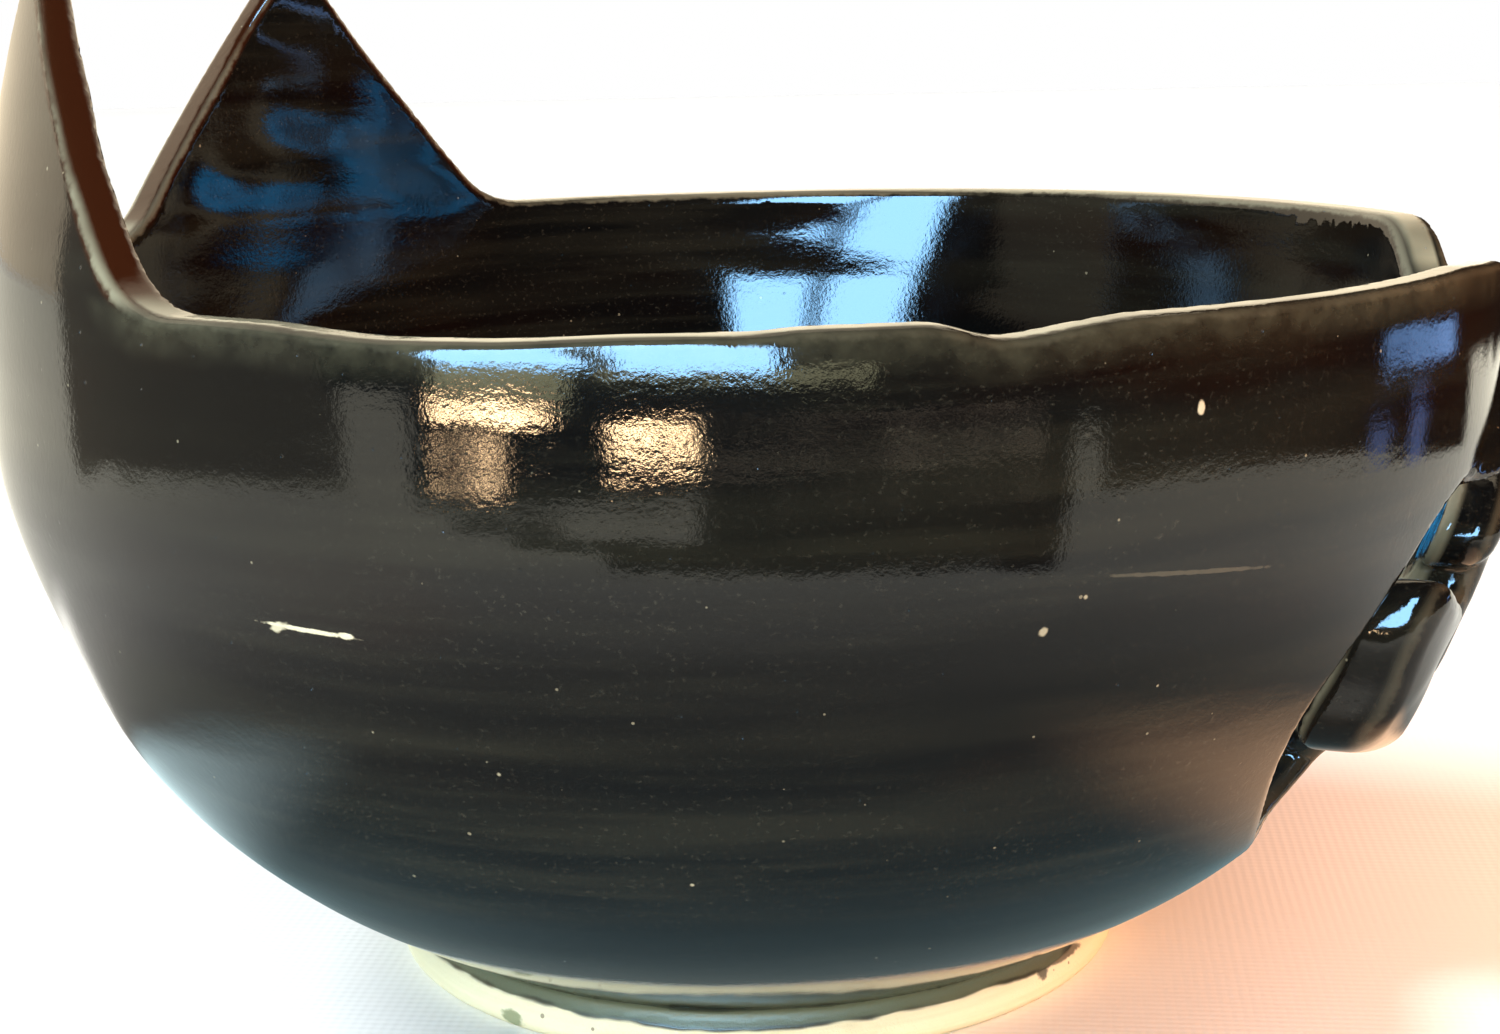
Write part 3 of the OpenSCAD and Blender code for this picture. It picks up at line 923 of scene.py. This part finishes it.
def make_camera():
    """The camera at the photograph's angle."""
    data = bpy.data.cameras.new("camera")
    data.lens, data.sensor_width = LENS, 36
    data.clip_start, data.clip_end = 0.01, 20
    camera = bpy.data.objects.new("camera", data)
    bpy.context.scene.collection.objects.link(camera)
    a = math.radians(CAMERA_AZIMUTH)
    place = Vector((CAMERA_AWAY * math.cos(a), CAMERA_AWAY * math.sin(a), CAMERA_UP)) * MM
    turn = math.radians(CAMERA_AZIMUTH - 270 + CAMERA_TURN)
    camera.matrix_world = (Matrix.Translation(place) @ Matrix.Rotation(turn, 4, "Z")
                           @ Matrix.Rotation(math.radians(90 + CAMERA_TILT), 4, "X")
                           @ Matrix.Rotation(math.radians(CAMERA_ROLL), 4, "Z"))
    bpy.context.scene.camera = camera


def make_floor():
    """A pale cloth, wide enough to fill every view."""
    half = 3.0
    corners = np.array([(-half, -half, 0), (half, -half, 0), (half, half, 0), (-half, half, 0)])
    floor = mesh_object("floor", corners, np.array([(0, 1, 2, 3)]))
    floor.data.materials.append(cloth_material())


def only_for_gloss(thing):
    """Stage dressing that nothing but the gloss sees."""
    thing.visible_camera = thing.visible_diffuse = thing.visible_shadow = False
    thing.visible_transmission = thing.visible_volume_scatter = False


def glow(name, colour, strength):
    """A material that only shines, and the shader and output to add a border to."""
    s = Shader(name)
    s.tree.nodes.remove(s.surface)
    end = s.tree.nodes["Material Output"].inputs["Surface"]
    shine = s.node("ShaderNodeEmission", {"Strength": strength})
    if isinstance(colour, tuple):
        shine.inputs["Color"].default_value = (*colour, 1)
    s.tree.links.new(shine.outputs[0], end)
    return s, shine, end


def make_card(name, azimuths, heights, away, colour, strength, soft, mottled=False):
    """A curved card with a soft, wavering border. A mottled one is cloudy and shines inwards only."""
    width = math.radians(azimuths[1] - azimuths[0]) * away
    height = heights[1] - heights[0]
    share = np.linspace(0, 1, max(3, int((azimuths[1] - azimuths[0]) / 4) + 2))
    angles = np.radians(azimuths[0] + share * (azimuths[1] - azimuths[0]))
    ring = np.stack([np.cos(angles) * away, np.sin(angles) * away], 1) * MM
    low, high = (np.column_stack([ring, np.full(len(ring), h * MM)]) for h in heights)
    n = len(ring)
    quads = np.array([(i, i + 1, n + i + 1, n + i) for i in range(n - 1)])
    card = mesh_object(name, np.concatenate([low, high]), quads)
    place = np.column_stack([np.r_[share, share] * width, np.r_[np.zeros(n), np.full(n, height)]])
    layer = card.data.uv_layers.new(name="flat")
    layer.data.foreach_set("uv", place[quads.ravel()].astype(np.float32).ravel())
    s, shine, end = glow(name, colour, strength)
    u, v, _ = s.node("ShaderNodeSeparateXYZ", {0: s.node("ShaderNodeUVMap", {}).outputs[0]}).outputs
    nearest = s.math("MINIMUM", u, s.math("SUBTRACT", width, u))
    nearest = s.math("MINIMUM", nearest, s.math("MINIMUM", v, s.math("SUBTRACT", height, v)))
    waver = s.math("MULTIPLY", s.math("SUBTRACT", s.noise(22, 1, 3, 0.6, away), 0.5), 3.0 * soft)
    there = s.step(s.math("ADD", nearest, waver), 0.0, soft)
    if mottled:
        cloud = s.node("ShaderNodeTexNoise", {"Vector": s.place, "Scale": 0.035, "Detail": 3.0,
                                              "Distortion": 1.8}).outputs["Fac"]
        back = s.node("ShaderNodeNewGeometry", {}).outputs["Backfacing"]
        there = s.math("MULTIPLY", there, s.step(cloud, 0.36, 0.50))
        there = s.math("MULTIPLY", there, back)
    clear = s.node("ShaderNodeBsdfTransparent", {})
    both = s.node("ShaderNodeMixShader", {0: there, 1: clear.outputs[0], 2: shine.outputs[0]})
    s.tree.links.new(both.outputs[0], end)
    card.data.materials.append(s.material)
    only_for_gloss(card)


def make_table_shade():
    """A flat ring over the cloth that sets how bright the gloss sees the table."""
    turns = np.radians(np.arange(0, 360, 5))
    ring = np.stack([np.cos(turns), np.sin(turns), np.zeros(len(turns))], 1)
    rings = [ring * r * MM + (0, 0, 0.3 * MM) for r in (FOOT_R + 0.6, TABLE_END)]
    n = len(turns)
    quads = np.array([(i, (i + 1) % n, n + (i + 1) % n, n + i) for i in range(n)])
    shade = mesh_object("table_shade", np.concatenate(rings), quads)
    s, shine, _ = glow("table_shade", None, 1.0)
    away = s.node("ShaderNodeVectorMath", {0: s.place}, operation="LENGTH").outputs["Value"]
    ramp = s.node("ShaderNodeValToRGB", {0: s.math("DIVIDE", away, TABLE_REACH)})
    stops = ramp.color_ramp.elements
    while len(stops) < len(TABLE_SHADES):
        stops.new(0.5)
    for stop, (radius, colour) in zip(stops, TABLE_SHADES):
        stop.position = radius / TABLE_REACH
        stop.color = (*colour, 1)
    beside = s.math("MULTIPLY", s.step(s.math("ABSOLUTE", s.x), 56, 84), s.step(away, 108, 92))
    belt = s.math("MULTIPLY", s.step(away, 105, 125), s.step(away, 180, 150))
    behind = s.math("MULTIPLY", s.step(s.x, -30, -60), s.step(s.y, 30, 70))
    behind = s.math("MULTIPLY", behind, belt)
    lit = s.mix(s.step(s.x, -5, 5), LEFT_OF_FOOT, RIGHT_OF_FOOT)
    shown = s.mix(beside, s.mix(behind, ramp.outputs[0], LEFT_BEHIND), lit)
    s.tree.links.new(shown, shine.inputs["Color"])
    shade.data.materials.append(s.material)
    only_for_gloss(shade)


def make_world():
    """White all round for the camera and the cloth; for the gloss, a bright backdrop."""
    world = bpy.data.worlds.new("studio")
    bpy.context.scene.world = world
    world.use_nodes = True
    tree = world.node_tree
    tree.nodes.clear()
    link, new = tree.links.new, tree.nodes.new

    def background(strength, colour=(1, 1, 1)):
        """A plain background shader."""
        made = new("ShaderNodeBackground")
        made.inputs[0].default_value = (*colour, 1)
        made.inputs[1].default_value = strength
        return made

    way = new("ShaderNodeTexCoord").outputs["Generated"]
    toward = new("ShaderNodeVectorMath")
    toward.operation = "DOT_PRODUCT"
    behind = math.radians(BACKDROP_AZ)
    toward.inputs[1].default_value = (math.cos(behind), math.sin(behind), 0.25)
    link(way, toward.inputs[0])
    ramp = new("ShaderNodeMapRange")
    ramp.interpolation_type = "SMOOTHSTEP"
    ramp.inputs["From Min"].default_value = 0.30
    ramp.inputs["From Max"].default_value = 0.62
    ramp.inputs["To Min"].default_value = BACKDROP_DARK
    ramp.inputs["To Max"].default_value = BACKDROP
    link(toward.outputs["Value"], ramp.inputs["Value"])
    gloss = background(1, BACKDROP_COLOUR)
    link(ramp.outputs[0], gloss.inputs[1])
    rays = new("ShaderNodeLightPath")
    seen = new("ShaderNodeMixShader")
    link(rays.outputs["Is Camera Ray"], seen.inputs[0])
    link(background(ROOM_LIGHT).outputs[0], seen.inputs[1])
    link(background(1.0).outputs[0], seen.inputs[2])
    both = new("ShaderNodeMixShader")
    link(rays.outputs["Is Glossy Ray"], both.inputs[0])
    link(seen.outputs[0], both.inputs[1])
    link(gloss.outputs[0], both.inputs[2])
    link(both.outputs[0], new("ShaderNodeOutputWorld").inputs[0])


def make_lamp(name, kind, place, toward, energy, size, colour):
    """An area light of a width, or a sun of an angle, that the gloss doesn't see."""
    data = bpy.data.lights.new(name, kind)
    data.energy, data.color = energy, colour
    if kind == "SUN":
        data.angle = math.radians(size)
    else:
        data.size = size
    light = bpy.data.objects.new(name, data)
    bpy.context.scene.collection.objects.link(light)
    place = Vector(place)
    turn = (place - Vector(toward)).to_track_quat("Z", "Y")
    light.matrix_world = Matrix.Translation(place) @ turn.to_matrix().to_4x4()
    light.visible_glossy = False


# ---------------------------------------------------------------- put together

make_camera()
make_floor()
for card in CARDS:
    make_card(*card)
for card in INNER_CARDS:
    make_card(*card, mottled=True)
make_table_shade()
make_world()
for lamp in LAMPS:
    make_lamp(*lamp)
bpy.context.scene.view_settings.view_transform = "Standard"

materials = {slot: stoneware(slot) for slot in ("black_glaze", "bare_clay")}
pieces = make_pieces()
for name, node, slot in (("thrown_wall", "bowl_wall", "black_glaze"),
                         ("turned_foot", "foot_ring", "bare_clay"),
                         ("left_ear", "ear_left", "black_glaze"),
                         ("right_ear", "ear_right", "black_glaze"),
                         ("curled_tail", "tail_hook", "black_glaze")):
    pieces[name].data.materials.append(materials[slot])
    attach(pieces[name], "root")
    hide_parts(node)
